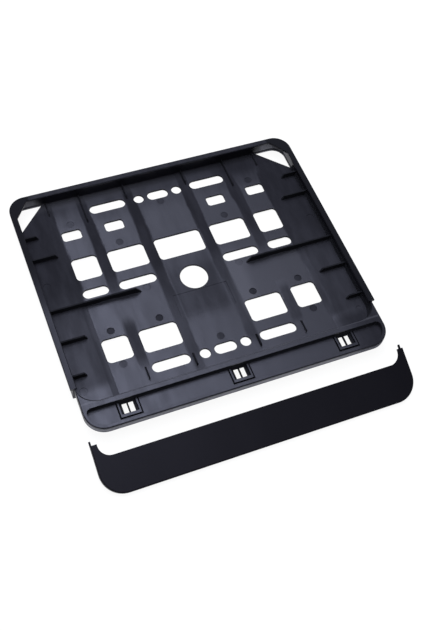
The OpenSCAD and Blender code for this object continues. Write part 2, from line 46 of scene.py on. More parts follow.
# How dull each ramp is along Y, from the shelf to the top wall, as place and level.
# The third also holds for the band outside it.
RAMP_PROFILES = (
    ((-76, 0.05), (-66, 0.2), (-58, 0.5), (-40, 0.4), (-28, 0.45), (0, 0.7), (12, 1.0), (76, 1.0)),
    ((-64, 0.0), (-55, 0.6), (-36, 0.6), (-25, 0.0), (-12, 0.0), (-4, 0.55), (6, 0.85), (30, 1.0)),
    ((-76, 0.0), (-68, 0.05), (-60, 0.6), (-20, 0.6), (-5, 0.85), (20, 1.0), (76, 1.0)),
)
# Where the dullness fades: past a ramp's edges, and for the third from its middle line
RAMP_EDGE = (-0.4, 1.6)
BAND_EDGE = (-4.0, -1.5)
# How far the dull parts' outlines wander with the clouds
WANDER = 0.7
# On the left half the second ramp's levels lie higher up
LEFT_HALF = (0.0, -1.0)
LEFT_RISE = 4.0
# On the lower left the outer band starts further out, and is less dull
BAND_LOW = (5.0, -10.0)
BAND_SHIFT = 3.0
BAND_LEVEL = 0.75

# Dull patch round the large hole: its edge beside the middle, and its level along Y
PATCH_EDGE = (14.0, 17.0)
PATCH_PROFILE = ((-42, 0.0), (-29, 0.5), (-5, 0.5), (6, 0.25), (16, 0.0))
# Flats near the top wall are duller, on the right by a factor
TOP_PROFILE = ((46, 0.0), (56, 0.22), (66, 0.42), (76, 0.42))
TOP_RIGHT = (30.0, 60.0)
TOP_RIGHT_FACTOR = 2.6
# Where the floor's slopes don't show: round the second ramp, less by a factor as it gets dull
PLAIN_FROM = (30.0, 40.0)
PLAIN_TO = (66.0, 60.0)
PLAIN_LOSS = 2.0

# Sunk marks: depths from which a shallow and a deep one show, and how dull they are
SUNK = (0.08, 0.14)
SUNK_DEEP = (0.25, 0.35)
SUNK_LEVEL = 0.8
# Shallow marks are faint on the left and in one row across, and gone on the outer bands
FAINT_ACROSS = (-65.0, 60.0)
FAINT_LEFT = 0.4
FAINT_ASIDE = (78.0, 80.0)
FAINT_ROW_Y = -9.0
FAINT_ROW_SPAN = (4.0, 6.0)
FAINT_ROW_LEVEL = 0.3
# Bare field for an insert under the large hole: half width, half height, middle along Y, edge
INSERT_W, INSERT_H, INSERT_Y, INSERT_EDGE = 18.3, 8.8, -25.75, 0.1

# Rim: inner edge of the lip at the sides and at the top, lower ends of the side walls, and height
LIP_X, LIP_Y, WALL_END, RIM_Z = 94.2, 73.7, -64.9, 12.0
# Where the rim begins: in height, aside, up, and above the lower ends of the side walls
RIM_FACE = (RIM_Z - 0.6, RIM_Z - 0.4)
RIM_ASIDE = (LIP_X - 9.0, LIP_X - 8.5)
RIM_UP = (LIP_Y - 0.3, LIP_Y)
RIM_LOW_END = (WALL_END, WALL_END + 0.2)
# Where its level turns from the top's to the sides', and where the webs begin
RIM_TURN = (LIP_X - 9.0, LIP_X)
WEB_ASIDE = (LIP_X - 12.0, LIP_X - 10.0)
WEB_UP = (LIP_Y - 13.0, LIP_Y - 11.0)
# Levels of its dullness: at the top, at the webs, at the right, and at the left from low to high
RIM_LEVEL, WEB_LEVEL, RIM_RIGHT_LEVEL = 0.75, 1.2, 1.3
RIM_LEFT_LEVELS = (0.5, 1.2)
RIM_LEFT_UP = (-15.0, 25.0)
# Levels between which the rim also turns darker
RIM_DARKENING = (0.8, 1.2)

# Inner faces of the side walls and of the top wall, and the radius where they meet
WALL_X, WALL_Y, WALL_R = 95.4, 74.9, 8.4
# Shelf: its upper edge, the inner edge and height of its panel, its front edge, half width and radius
SHELF_TOP, PANEL_TOP, PANEL_Z = -76.3, -79.6, 8.5
SHELF_FRONT, SHELF_HALF, SHELF_R = -94.5, 95.8, 12.4

# Painted shade darkens these parts: what stands in the pan below the lip, the sockets, and the step beside
# the panel
BELOW_LIP = (RIM_Z - 2.2, RIM_Z - 2.6)
PAN_LOW = (SHELF_TOP, SHELF_TOP + 0.3)
PAN_HIGH = (WALL_Y - 0.2, WALL_Y - 0.4)
PAN_ASIDE = (WALL_X - 0.2, WALL_X - 0.4)
SOCKET_Z = (PANEL_Z - 0.15, PANEL_Z - 0.4)
SOCKET_UP = (PANEL_TOP, PANEL_TOP - 0.2)
STEP_Z = (RIM_Z - 0.6, RIM_Z - 0.8)
STEP_SPAN = (0.6, 0.4)
# Dull right end of the shelf
END_ACROSS = (60.0, 84.0)
END_UP = (-56.0, -68.0)
END_LEVEL = 0.85

# Painted reflection on the shelf's front edge: distance from the corners' centres, height, and place along Y
EDGE_REACH = (SHELF_R - 0.3, SHELF_R - 0.1)
EDGE_Z = (RIM_Z - 0.5, RIM_Z - 2.5)
EDGE_UP = (SHELF_FRONT + SHELF_R, SHELF_FRONT + 6.0)
# Painted reflection on the walls at the corner windows, on their inner faces, and more so at the right by a
# factor
WINDOW_ASIDE = (79.0, 81.0)
WINDOW_UP = (64.0, 67.0)
WINDOW_REACH = (WALL_R + 0.7, WALL_R + 0.4)
WINDOW_ACROSS = (-80.0, 80.0)
WINDOW_RIGHT_FACTOR = 3.0
# Painted light on the floor under the top wall, less so at the right by a factor
PALE_TOP_UP = (66.0, 74.0)
PALE_TOP_ACROSS = (-40.0, 50.0)
PALE_TOP_RIGHT_FACTOR = 0.2
# Painted highlight on the rounded edge between the pan and the shelf
PAN_EDGE_UP = (SHELF_TOP - 0.7, SHELF_TOP - 0.2)
PAN_EDGE_END = (SHELF_TOP + 1.0, SHELF_TOP + 0.5)
PAN_EDGE_Z = (RIM_Z - 1.5, RIM_Z - 1.0)
# Painted light on the flats at the right: where they start, fade to a factor, and end, across and along Y
FLATS_FROM = (20.0, 23.0)
FLATS_FADE = (29.0, 37.0)
FLATS_FAR_FACTOR = 0.4
FLATS_TO = (74.0, 70.0)
FLATS_UP = (14.0, -8.0)
FLATS_LOW = (-52.0, -34.0)
FLATS_LOW_FACTOR = 0.3

# Shares of the plastic's colour that are left in the clouds, and in the parts darkened by painted shade and
# on the darker rim
TRAY_CLOUDS, TRAY_DARK = 0.75, 0.15
STRIP_CLOUDS = 0.7
# Moulded grain: its height, and how strongly it shows on each piece
GRAIN_HEIGHT = 0.03
TRAY_GRAIN, STRIP_GRAIN = 0.12, 0.2
# Noise levels between which the clouds go from none to full
CLOUD_SPAN = (0.32, 0.68)
# Half the length over which the strip's gloss changes
STRIP_HALF = 98.0
# Rays that look for an edge nearby, for each point
BEVEL_SAMPLES = 6

# Softboxes: name, setting for the radiance, azimuth and elevation in degrees, and distance and
# size in metres
SOFTBOXES = (
    ("Key softbox", "key_level", -20.0, 81.0, 1.1, (0.9, 0.9)),
    ("Left softbox", "left_level", -17.0, 63.0, 1.25, (0.5, 0.5)),
    ("Back softbox", "back_level", 10.0, 44.0, 1.3, (0.7, 0.4)),
    ("Left fill", "fill_level", -120.0, 32.0, 1.2, (1.0, 0.7)),
    ("Right fill", "fill_level", 120.0, 32.0, 1.2, (1.0, 0.7)),
)
LAMP_COLOUR = (0.90, 0.93, 1.0)
# Table: its width in metres, its paper's fibres, and the share of its colour left in them
TABLE_SIZE = 40.0
TABLE_FIBRES_PER_METRE = 900.0
TABLE_FIBRE_SHARE = 0.97
# Nearest and farthest that the camera sees, in metres
CAMERA_RANGE = (0.01, 50.0)

# Where a Mix node has its two inputs and its output, by kind
MIX_SOCKETS = {"RGBA": (6, 7, 2), "VECTOR": (4, 5, 1)}

# A point on the tray: across, up towards its top edge, above its back, and aside from its middle line
Place = namedtuple("Place", ("across", "up", "height", "aside"))


def material(name):
    """A new material with an empty node tree, its Principled shader and its output."""
    mat = bpy.data.materials.new(name)
    mat.use_nodes = True
    tree = mat.node_tree
    tree.nodes.clear()
    out = tree.nodes.new("ShaderNodeOutputMaterial")
    bsdf = tree.nodes.new("ShaderNodeBsdfPrincipled")
    tree.links.new(bsdf.outputs["BSDF"], out.inputs["Surface"])
    return mat, tree, bsdf


def put(tree, socket, value):
    """Links a socket to an input, or sets the input to a number, colour or vector."""
    if isinstance(value, bpy.types.NodeSocket):
        tree.links.new(value, socket)
    else:
        socket.default_value = value


def maths(tree, operation, *values, clamp=False):
    """One Math node, with its inputs given as sockets or numbers."""
    node = tree.nodes.new("ShaderNodeMath")
    node.operation = operation
    node.use_clamp = clamp
    for socket, value in zip(node.inputs, values):
        put(tree, socket, value)
    return node.outputs[0]


def product(tree, first, *others):
    """Multiplies sockets or numbers."""
    for other in others:
        first = maths(tree, "MULTIPLY", first, other)
    return first


def highest(tree, first, *others):
    """The highest of some sockets or numbers."""
    for other in others:
        first = maths(tree, "MAXIMUM", first, other)
    return first


def distance(tree, place, line):
    """How far a place lies from a line, which is given in millimetres."""
    return maths(tree, "ABSOLUTE", maths(tree, "SUBTRACT", place, line * MM))


def remap(tree, value, span, low=0.0, high=1.0, smooth=False):
    """Maps a value from a span to a range of levels and clamps it there."""
    node = tree.nodes.new("ShaderNodeMapRange")
    node.interpolation_type = "SMOOTHSTEP" if smooth else "LINEAR"
    put(tree, node.inputs["Value"], value)
    for socket, number in zip(("From Min", "From Max", "To Min", "To Max"), (*span, low, high)):
        put(tree, node.inputs[socket], number)
    return node.outputs["Result"]


def fade(tree, place, span, low=0.0, high=1.0, smooth=False):
    """Maps a place from a span in millimetres to a range of levels and clamps it there."""
    return remap(tree, place, [end * MM for end in span], low, high, smooth)


def profile(tree, place, stops):
    """Reads a level along a line, from stops given as place in millimetres and level."""
    node = tree.nodes.new("ShaderNodeValToRGB")
    node.color_ramp.interpolation = "EASE"
    first, last = stops[0][0], stops[-1][0]
    elements = node.color_ramp.elements
    for at, _ in stops[1:-1]:
        elements.new((at - first) / (last - first))
    for element, (_, level) in zip(elements, stops):
        element.color = (level, level, level, 1.0)
    put(tree, node.inputs["Fac"], fade(tree, place, (first, last)))
    return node.outputs["Color"]


def mix(tree, kind, factor, first, second):
    """Mixes two colours or two vectors by a factor."""
    node = tree.nodes.new("ShaderNodeMix")
    node.data_type = kind
    first_input, second_input, output = MIX_SOCKETS[kind]
    put(tree, node.inputs[0], factor)
    put(tree, node.inputs[first_input], first)
    put(tree, node.inputs[second_input], second)
    return node.outputs[output]


def shade(colour, share=1.0):
    """A share of a colour, with full alpha."""
    return (*[part * share for part in colour], 1.0)


def noise(tree, vector, scale, detail=2.0, roughness=0.5):
    """A noise texture between 0 and 1."""
    node = tree.nodes.new("ShaderNodeTexNoise")
    put(tree, node.inputs["Vector"], vector)
    put(tree, node.inputs["Scale"], scale)
    node.inputs["Detail"].default_value = detail
    node.inputs["Roughness"].default_value = roughness
    return node.outputs[0]


def reach(tree, across, along):
    """How far a point lies from the centre of a rounded corner, given its place from that centre."""
    beyond = tree.nodes.new("ShaderNodeCombineXYZ")
    put(tree, beyond.inputs["X"], highest(tree, 0.0, across))
    put(tree, beyond.inputs["Y"], highest(tree, 0.0, along))
    length = tree.nodes.new("ShaderNodeVectorMath")
    length.operation = "LENGTH"
    tree.links.new(beyond.outputs[0], length.inputs[0])
    return length.outputs["Value"]


def coordinates(tree, vector):
    """The three coordinates of a point."""
    parts = tree.nodes.new("ShaderNodeSeparateXYZ")
    tree.links.new(vector, parts.inputs[0])
    return parts.outputs


def tray_place(tree, vector):
    """Where a point lies on the tray."""
    across, up, height = coordinates(tree, vector)
    return Place(across, up, height, maths(tree, "ABSOLUTE", across))


def new_group(name, inputs, outputs):
    """A node group with its inputs, given as name, kind and default, and its outputs, all numbers."""
    group = bpy.data.node_groups.new(name, "ShaderNodeTree")
    for label, kind, default in inputs:
        socket = group.interface.new_socket(label, in_out="INPUT", socket_type=kind)
        if default is not None:
            socket.default_value = default
    for label in outputs:
        group.interface.new_socket(label, in_out="OUTPUT", socket_type="NodeSocketFloat")
    return group, group.nodes.new("NodeGroupInput"), group.nodes.new("NodeGroupOutput")


def placed(tree, group, vector, **values):
    """Places a node group in a material and sets its named inputs."""
    node = tree.nodes.new("ShaderNodeGroup")
    node.node_tree = group
    tree.links.new(vector, node.inputs["Vector"])
    for label, value in values.items():
        put(tree, node.inputs[label.replace("_", " ")], value)
    return node


def moulded_skin_group():
    """Skin that moulding leaves on plastic: a fine grain, and broad clouds where the melt flowed."""
    group, given, result = new_group(
        "Moulded skin",
        (
            ("Vector", "NodeSocketVector", None),
            ("Grain per metre", "NodeSocketFloat", 2600.0),
            ("Clouds per metre", "NodeSocketFloat", 22.0),
            ("Flow stretch", "NodeSocketFloat", 0.25),
        ),
        ("Grain", "Clouds"),
    )
    stretch = group.nodes.new("ShaderNodeCombineXYZ")
    stretch.inputs["X"].default_value = 1.0
    stretch.inputs["Z"].default_value = 1.0
    group.links.new(given.outputs["Flow stretch"], stretch.inputs["Y"])
    along = group.nodes.new("ShaderNodeVectorMath")
    along.operation = "MULTIPLY"
    group.links.new(given.outputs["Vector"], along.inputs[0])
    group.links.new(stretch.outputs[0], along.inputs[1])
    grain = noise(group, given.outputs["Vector"], given.outputs["Grain per metre"],
                  detail=3.0, roughness=0.6)
    clouds = noise(group, along.outputs[0], given.outputs["Clouds per metre"],
                   detail=5.0, roughness=0.62)
    group.links.new(grain, result.inputs["Grain"])
    group.links.new(remap(group, clouds, CLOUD_SPAN, smooth=True), result.inputs["Clouds"])
    return group


def skin_group():
    """The shared skin group, built once."""
    return bpy.data.node_groups.get("Moulded skin") or moulded_skin_group()


def floor_height(tree, at):
    """Height of the floor's top, which rises at each ramp."""
    height = FLOOR_TOP * MM
    for middle, width, rise in RAMPS:
        step = fade(tree, at.aside, (middle - width / 2, middle + width / 2))
        height = maths(tree, "MULTIPLY_ADD", step, rise * MM, height)
    return height


def ramp_dullness(tree, at, ragged):
    """How dull the ramps are, the third together with the band outside it."""
    left = fade(tree, at.across, LEFT_HALF)
    raised = maths(tree, "MULTIPLY_ADD", left, -LEFT_RISE * MM, at.up)
    extents = []
    for middle, width, _ in RAMPS[:2]:
        edge = [width / 2 + off for off in RAMP_EDGE]
        extents.append(fade(tree, distance(tree, ragged, middle), edge, 1.0, 0.0, smooth=True))
    shift = product(tree, left, fade(tree, at.up, BAND_LOW, 0.0, BAND_SHIFT * MM))
    level = fade(tree, shift, (0.0, BAND_SHIFT), 1.0, BAND_LEVEL)
    edge = [RAMPS[2][0] + off for off in BAND_EDGE]
    extents.append(fade(tree, maths(tree, "SUBTRACT", ragged, shift), edge, 0.0, level, smooth=True))
    places = (at.up, raised, at.up)
    return highest(tree, *[product(tree, extent, profile(tree, place, stops))
                           for extent, place, stops in zip(extents, places, RAMP_PROFILES)])


def sunk_marks(tree, at, depth):
    """How strongly the sunk marks show, which they don't in the bare insert field."""
    faint = product(tree, fade(tree, at.across, FAINT_ACROSS, FAINT_LEFT, 1.0),
                    fade(tree, at.aside, FAINT_ASIDE, 1.0, 0.0),
                    fade(tree, distance(tree, at.up, FAINT_ROW_Y), FAINT_ROW_SPAN, FAINT_ROW_LEVEL))
    level = highest(tree, faint, fade(tree, depth, SUNK_DEEP))
    beside = fade(tree, at.aside, (INSERT_W, INSERT_W + INSERT_EDGE))
    beyond = fade(tree, distance(tree, at.up, INSERT_Y), (INSERT_H, INSERT_H + INSERT_EDGE))
    return product(tree, fade(tree, depth, SUNK, 0.0, level), highest(tree, beside, beyond))


def plain_parts(tree, at):
    """Where the floor's slopes aren't to show: round the second ramp, as far as it isn't dull."""
    lost = product(tree, profile(tree, at.up, RAMP_PROFILES[1]), PLAIN_LOSS)
    return product(tree, maths(tree, "SUBTRACT", 1.0, lost, clamp=True),
                   fade(tree, at.aside, PLAIN_FROM), fade(tree, at.aside, PLAIN_TO))


def floor_steps_group():
    """Reads the tray's floor from its place: how dull it is, what is sunk into it, where it is plain."""
    group, given, result = new_group(
        "Floor steps",
        (("Vector", "NodeSocketVector", None), ("Wander", "NodeSocketFloat", 0.0)),
        ("Dull", "Sunk", "Floor", "Plain"),
    )
    at = tray_place(group, given.outputs["Vector"])
    ragged = maths(group, "MULTIPLY_ADD", given.outputs["Wander"], WANDER * MM, at.aside)
    patch = product(group, fade(group, ragged, PATCH_EDGE, 1.0, 0.0, smooth=True),
                    profile(group, at.up, PATCH_PROFILE))
    near_top = product(group, profile(group, at.up, TOP_PROFILE),
                       fade(group, at.across, TOP_RIGHT, 1.0, TOP_RIGHT_FACTOR, smooth=True))
    dull = highest(group, ramp_dullness(group, at, ragged), patch, near_top)
    depth = maths(group, "SUBTRACT", floor_height(group, at), at.height)
    flush = fade(group, maths(group, "ABSOLUTE", depth), FLUSH, 1.0, 0.0)
    sunk = sunk_marks(group, at, depth)
    for label, level in (("Dull", dull), ("Sunk", sunk), ("Plain", plain_parts(group, at))):
        group.links.new(product(group, level, flush), result.inputs[label])
    group.links.new(flush, result.inputs["Floor"])
    return group


def rim_dullness(tree, at):
    """How dull the rim is: one level along the top, one at the webs, and changing ones at the sides."""
    on_face = fade(tree, at.height, RIM_FACE)
    on_rim = product(tree, highest(tree, fade(tree, at.aside, RIM_ASIDE), fade(tree, at.up, RIM_UP)),
                     fade(tree, at.up, RIM_LOW_END), on_face)
    web = product(tree, fade(tree, at.aside, WEB_ASIDE), fade(tree, at.up, WEB_UP), on_face, WEB_LEVEL)
    left_level = fade(tree, at.up, RIM_LEFT_UP, *RIM_LEFT_LEVELS)
    side_level = fade(tree, at.across, (-LIP_X, LIP_X), left_level, RIM_RIGHT_LEVEL)
    level = maths(tree, "MULTIPLY_ADD", fade(tree, at.aside, RIM_TURN),
                  maths(tree, "SUBTRACT", side_level, RIM_LEVEL), RIM_LEVEL)
    return product(tree, on_rim, highest(tree, web, level))


def inner_walls(tree, at, floor):
    """What lies below the lip and isn't floor: walls and ribs."""
    return product(tree, fade(tree, at.height, BELOW_LIP), maths(tree, "SUBTRACT", 1.0, floor))


def ribs_in_pan(tree, at, walls):
    """The ribs that stand in the pan, inside its walls, which get painted shade."""
    return product(tree, walls, fade(tree, at.up, PAN_LOW), fade(tree, at.up, PAN_HIGH),
                   fade(tree, at.aside, PAN_ASIDE))


def snap_sockets(tree, at):
    """The sockets and the grooves round them, which get painted shade."""
    return product(tree, fade(tree, at.height, SOCKET_Z), fade(tree, at.up, SOCKET_UP))


def panel_step(tree, at):
    """The step down from the shelf to its panel, which gets painted shade."""
    return product(tree, fade(tree, at.height, STEP_Z),
                   fade(tree, distance(tree, at.up, PANEL_TOP), STEP_SPAN))


def shelf_end(tree, at):
    """The shelf's dull right end."""
    return product(tree, fade(tree, at.across, END_ACROSS, 0.0, END_LEVEL, smooth=True),
                   fade(tree, at.up, END_UP))


def painted_edge_reflection(tree, at, painted_level):
    """Painted reflection on the shelf's front edge, round its two corners."""
    below = maths(tree, "SUBTRACT", (SHELF_FRONT + SHELF_R) * MM, at.up)
    corner = reach(tree, maths(tree, "SUBTRACT", at.aside, (SHELF_HALF - SHELF_R) * MM), below)
    return product(tree, fade(tree, corner, EDGE_REACH), fade(tree, at.height, EDGE_Z),
                   fade(tree, at.up, EDGE_UP, 0.0, painted_level))


def painted_wall_reflection(tree, at, walls, painted_level):
    """Painted reflection on the inner faces of the walls at the two corner windows."""
    corner = reach(tree, maths(tree, "SUBTRACT", at.aside, (WALL_X - WALL_R) * MM),
                   maths(tree, "SUBTRACT", at.up, (WALL_Y - WALL_R) * MM))
    return product(tree, walls, fade(tree, at.aside, WINDOW_ASIDE), fade(tree, at.up, WINDOW_UP),
                   fade(tree, at.across, WINDOW_ACROSS, painted_level, WINDOW_RIGHT_FACTOR * painted_level),
                   fade(tree, corner, WINDOW_REACH))


def painted_top_light(tree, at, floor, painted_level):
    """Painted light on the floor under the top wall."""
    return product(tree, floor, painted_level, fade(tree, at.up, PALE_TOP_UP, smooth=True),
                   fade(tree, at.across, PALE_TOP_ACROSS, 1.0, PALE_TOP_RIGHT_FACTOR, smooth=True))


def painted_pan_edge_highlight(tree, at, painted_level):
    """Painted highlight on the rounded edge between the pan and the shelf."""
    return product(tree, fade(tree, at.up, PAN_EDGE_UP), fade(tree, at.up, PAN_EDGE_END, 0.0, painted_level),
                   fade(tree, at.height, PAN_EDGE_Z))


def painted_flats_light(tree, at, steps, painted_level):
    """Painted light on the flats to the right, apart from what is dull or sunk there."""
    marked = highest(tree, steps["Dull"], steps["Sunk"])
    return product(tree, steps["Floor"], maths(tree, "SUBTRACT", 1.0, marked, clamp=True),
                   fade(tree, at.across, FLATS_FROM),
                   fade(tree, at.across, FLATS_FADE, painted_level, FLATS_FAR_FACTOR * painted_level, smooth=True),
                   fade(tree, at.across, FLATS_TO), fade(tree, at.up, FLATS_UP, smooth=True),
                   fade(tree, at.up, FLATS_LOW, FLATS_LOW_FACTOR, 1.0, smooth=True))


def rounded_normal(tree, radius, grain, strength, level=0.0):
    """Normal with slightly round edges and a grain on top, turned upright as far as level says."""
    bevel = tree.nodes.new("ShaderNodeBevel")
    bevel.samples = BEVEL_SAMPLES
    bevel.inputs["Radius"].default_value = radius
    bump = tree.nodes.new("ShaderNodeBump")
    bump.inputs["Strength"].default_value = strength
    bump.inputs["Distance"].default_value = GRAIN_HEIGHT * MM
    tree.links.new(grain, bump.inputs["Height"])
    upright = mix(tree, "VECTOR", level, bevel.outputs["Normal"], (0.0, 0.0, 1.0))
    tree.links.new(upright, bump.inputs["Normal"])
    return bump.outputs["Normal"]


def object_place(tree):
    """The point on the piece, in its own coordinates."""
    return tree.nodes.new("ShaderNodeTexCoord").outputs["Object"]


def plastic(tree, bsdf, settings, colour, rough, normal):
    """Gives a plastic its colour, roughness, normal, tinted sheen and index of refraction."""
    tree.links.new(colour, bsdf.inputs["Base Color"])
    tree.links.new(rough, bsdf.inputs["Roughness"])
    tree.links.new(normal, bsdf.inputs["Normal"])
    bsdf.inputs["Specular Tint"].default_value = shade(settings.sheen_colour)
    bsdf.inputs["IOR"].default_value = settings.ior


def tray_plastic(settings, skin):
    """Satin plastic of the tray: glossy flats, duller ramps, bands, marks and rim, ribs, sockets and panel
    step darkened by painted shade, and painted light and reflections in some places.
    """
    mat, tree, bsdf = material("Tray plastic")
    point = object_place(tree)
    at = tray_place(tree, point)
    marks = placed(tree, skin, point, Grain_per_metre=2400.0, Clouds_per_metre=130.0).outputs
    wander = remap(tree, marks["Clouds"], (0.0, 1.0), -1.0, 1.0)
    steps = placed(tree, floor_steps_group(), point, Wander=wander).outputs
    walls = inner_walls(tree, at, steps["Floor"])
    step = panel_step(tree, at)
    rim = rim_dullness(tree, at)

    # The ribs in the pan, the sockets and the panel step get painted shade, and are dull too.
    dark = highest(tree, ribs_in_pan(tree, at, walls), snap_sockets(tree, at), step)
    sunk = product(tree, steps["Sunk"], SUNK_LEVEL)
    dull = highest(tree, steps["Dull"], sunk, rim, shelf_end(tree, at), dark)
    cloudy = remap(tree, marks["Clouds"], (0.0, 1.0), -settings.cloud_depth, settings.cloud_depth)
    rough = maths(tree, "MULTIPLY_ADD", dull, settings.dull_roughness - settings.gloss_roughness,
                  maths(tree, "ADD", cloudy, settings.gloss_roughness), clamp=True)

    clouded = shade(settings.colour, TRAY_CLOUDS)
    colour = mix(tree, "RGBA", marks["Clouds"], shade(settings.colour), clouded)
    # Painted shade darkens the ribs, sockets and panel step; the rim turns darker where it is dullest.
    shade_and_dark_rim = highest(tree, dark, remap(tree, rim, RIM_DARKENING))
    colour = mix(tree, "RGBA", shade_and_dark_rim, colour, shade(settings.colour, TRAY_DARK))
    # Painted light mixed towards the pale colour: painted reflections on the shelf's front edge and corner
    # walls, and painted light on the floor under the top wall, the pan's edge and the flats to the right.
    pale = highest(tree, painted_edge_reflection(tree, at, settings.edge_reflection_level),
                   painted_wall_reflection(tree, at, walls, settings.wall_reflection_level),
                   painted_top_light(tree, at, steps["Floor"], settings.top_light_level),
                   painted_pan_edge_highlight(tree, at, settings.top_light_level),
                   painted_flats_light(tree, at, steps, settings.right_light_level))
    colour = mix(tree, "RGBA", pale, colour, shade(settings.painted_light_colour))

    normal = rounded_normal(tree, settings.edge_radius, marks["Grain"], TRAY_GRAIN,
                            highest(tree, step, steps["Plain"]))
    plastic(tree, bsdf, settings, colour, rough, normal)
    return mat


def strip_plastic(settings, skin):
    """Finely grained, nearly black plastic of the clip strip, duller towards the right."""
    mat, tree, bsdf = material("Strip plastic")
    point = object_place(tree)
    across = coordinates(tree, point)["X"]
    marks = placed(tree, skin, point, Grain_per_metre=3600.0, Clouds_per_metre=14.0).outputs
    clouded = shade(settings.colour, STRIP_CLOUDS)
    colour = mix(tree, "RGBA", marks["Clouds"], shade(settings.colour), clouded)
    cloudy = remap(tree, marks["Clouds"], (0.0, 1.0), -settings.cloud_depth, settings.cloud_depth)
    rightwards = fade(tree, across, (-STRIP_HALF, STRIP_HALF), -settings.gradient, settings.gradient)
    rough = maths(tree, "ADD", maths(tree, "ADD", cloudy, rightwards), settings.gloss_roughness, clamp=True)
    normal = rounded_normal(tree, settings.edge_radius, marks["Grain"], STRIP_GRAIN)
    plastic(tree, bsdf, settings, colour, rough, normal)
    return mat


def white_table(settings):
    """White table: plain white to the camera and in reflections, with the shadows kept."""
    mat = bpy.data.materials.new("White table")
    mat.use_nodes = True
    tree = mat.node_tree
    tree.nodes.clear()
    out = tree.nodes.new("ShaderNodeOutputMaterial")
    paper = tree.nodes.new("ShaderNodeBsdfDiffuse")
    glow = tree.nodes.new("ShaderNodeEmission")
    both = tree.nodes.new("ShaderNodeAddShader")
    path = tree.nodes.new("ShaderNodeLightPath")
    fibre = noise(tree, object_place(tree), TABLE_FIBRES_PER_METRE, detail=3.0)
    tint = mix(tree, "RGBA", fibre, shade(settings.table_colour),
               shade(settings.table_colour, TABLE_FIBRE_SHARE))
    tree.links.new(tint, paper.inputs["Color"])
    seen = highest(tree, path.outputs["Is Camera Ray"], path.outputs["Is Glossy Ray"],
                   path.outputs["Is Transmission Ray"])
    tree.links.new(product(tree, seen, settings.table_glow), glow.inputs["Strength"])
    tree.links.new(paper.outputs[0], both.inputs[0])
    tree.links.new(glow.outputs[0], both.inputs[1])
    tree.links.new(both.outputs[0], out.inputs["Surface"])
    return mat


def studio_world(settings):
    """World that is white to the camera and a dim room to everything else."""
    world = bpy.data.worlds.new("Studio")
    world.use_nodes = True
    tree = world.node_tree
    tree.nodes.clear()
    out = tree.nodes.new("ShaderNodeOutputWorld")
    room = tree.nodes.new("ShaderNodeBackground")
    path = tree.nodes.new("ShaderNodeLightPath")
    room.inputs["Color"].default_value = (1.0, 1.0, 1.0, 1.0)
    tree.links.new(remap(tree, path.outputs["Is Camera Ray"], (0.0, 1.0), settings.room_level, 1.0),
                   room.inputs["Strength"])
    tree.links.new(room.outputs[0], out.inputs["Surface"])
    bpy.context.scene.world = world


def softbox(name, azimuth, elevation, away, size, radiance):
    """Area light that looks at the part from a direction; azimuth 0 is +Y and 90 is +X."""
    a, e = math.radians(azimuth), math.radians(elevation)
    towards = Vector((math.sin(a) * math.cos(e), math.cos(a) * math.cos(e), math.sin(e)))
    bpy.ops.object.light_add(type="AREA", location=towards * away)
    lamp = bpy.context.object
    lamp.name = name
    lamp.rotation_euler = towards.to_track_quat("Z", "Y").to_euler()
    lamp.data.shape = "RECTANGLE"
    lamp.data.size, lamp.data.size_y = size
    lamp.data.energy = radiance * math.pi * size[0] * size[1]
    lamp.data.color = LAMP_COLOUR


def studio_camera(settings):
    """Camera at the photograph's place, looking at its target, turned by its roll."""
    place = Vector(settings.place)
    back = (place - Vector(settings.target)).normalized()
    right = Vector((0, 0, 1)).cross(back).normalized()
    up = back.cross(right)
    right, up = (right * math.cos(settings.roll) + up * math.sin(settings.roll),
                 up * math.cos(settings.roll) - right * math.sin(settings.roll))
    bpy.ops.object.camera_add(location=place)
    camera = bpy.context.object
    camera.name = "Photograph camera"
    camera.rotation_euler = Matrix((right, up, back)).transposed().to_euler()
    camera.data.sensor_fit = "AUTO"
    camera.data.sensor_width = SENSOR
    camera.data.lens = SENSOR * settings.focal_px / PHOTO_H
    camera.data.clip_start, camera.data.clip_end = CAMERA_RANGE
    bpy.context.scene.camera = camera


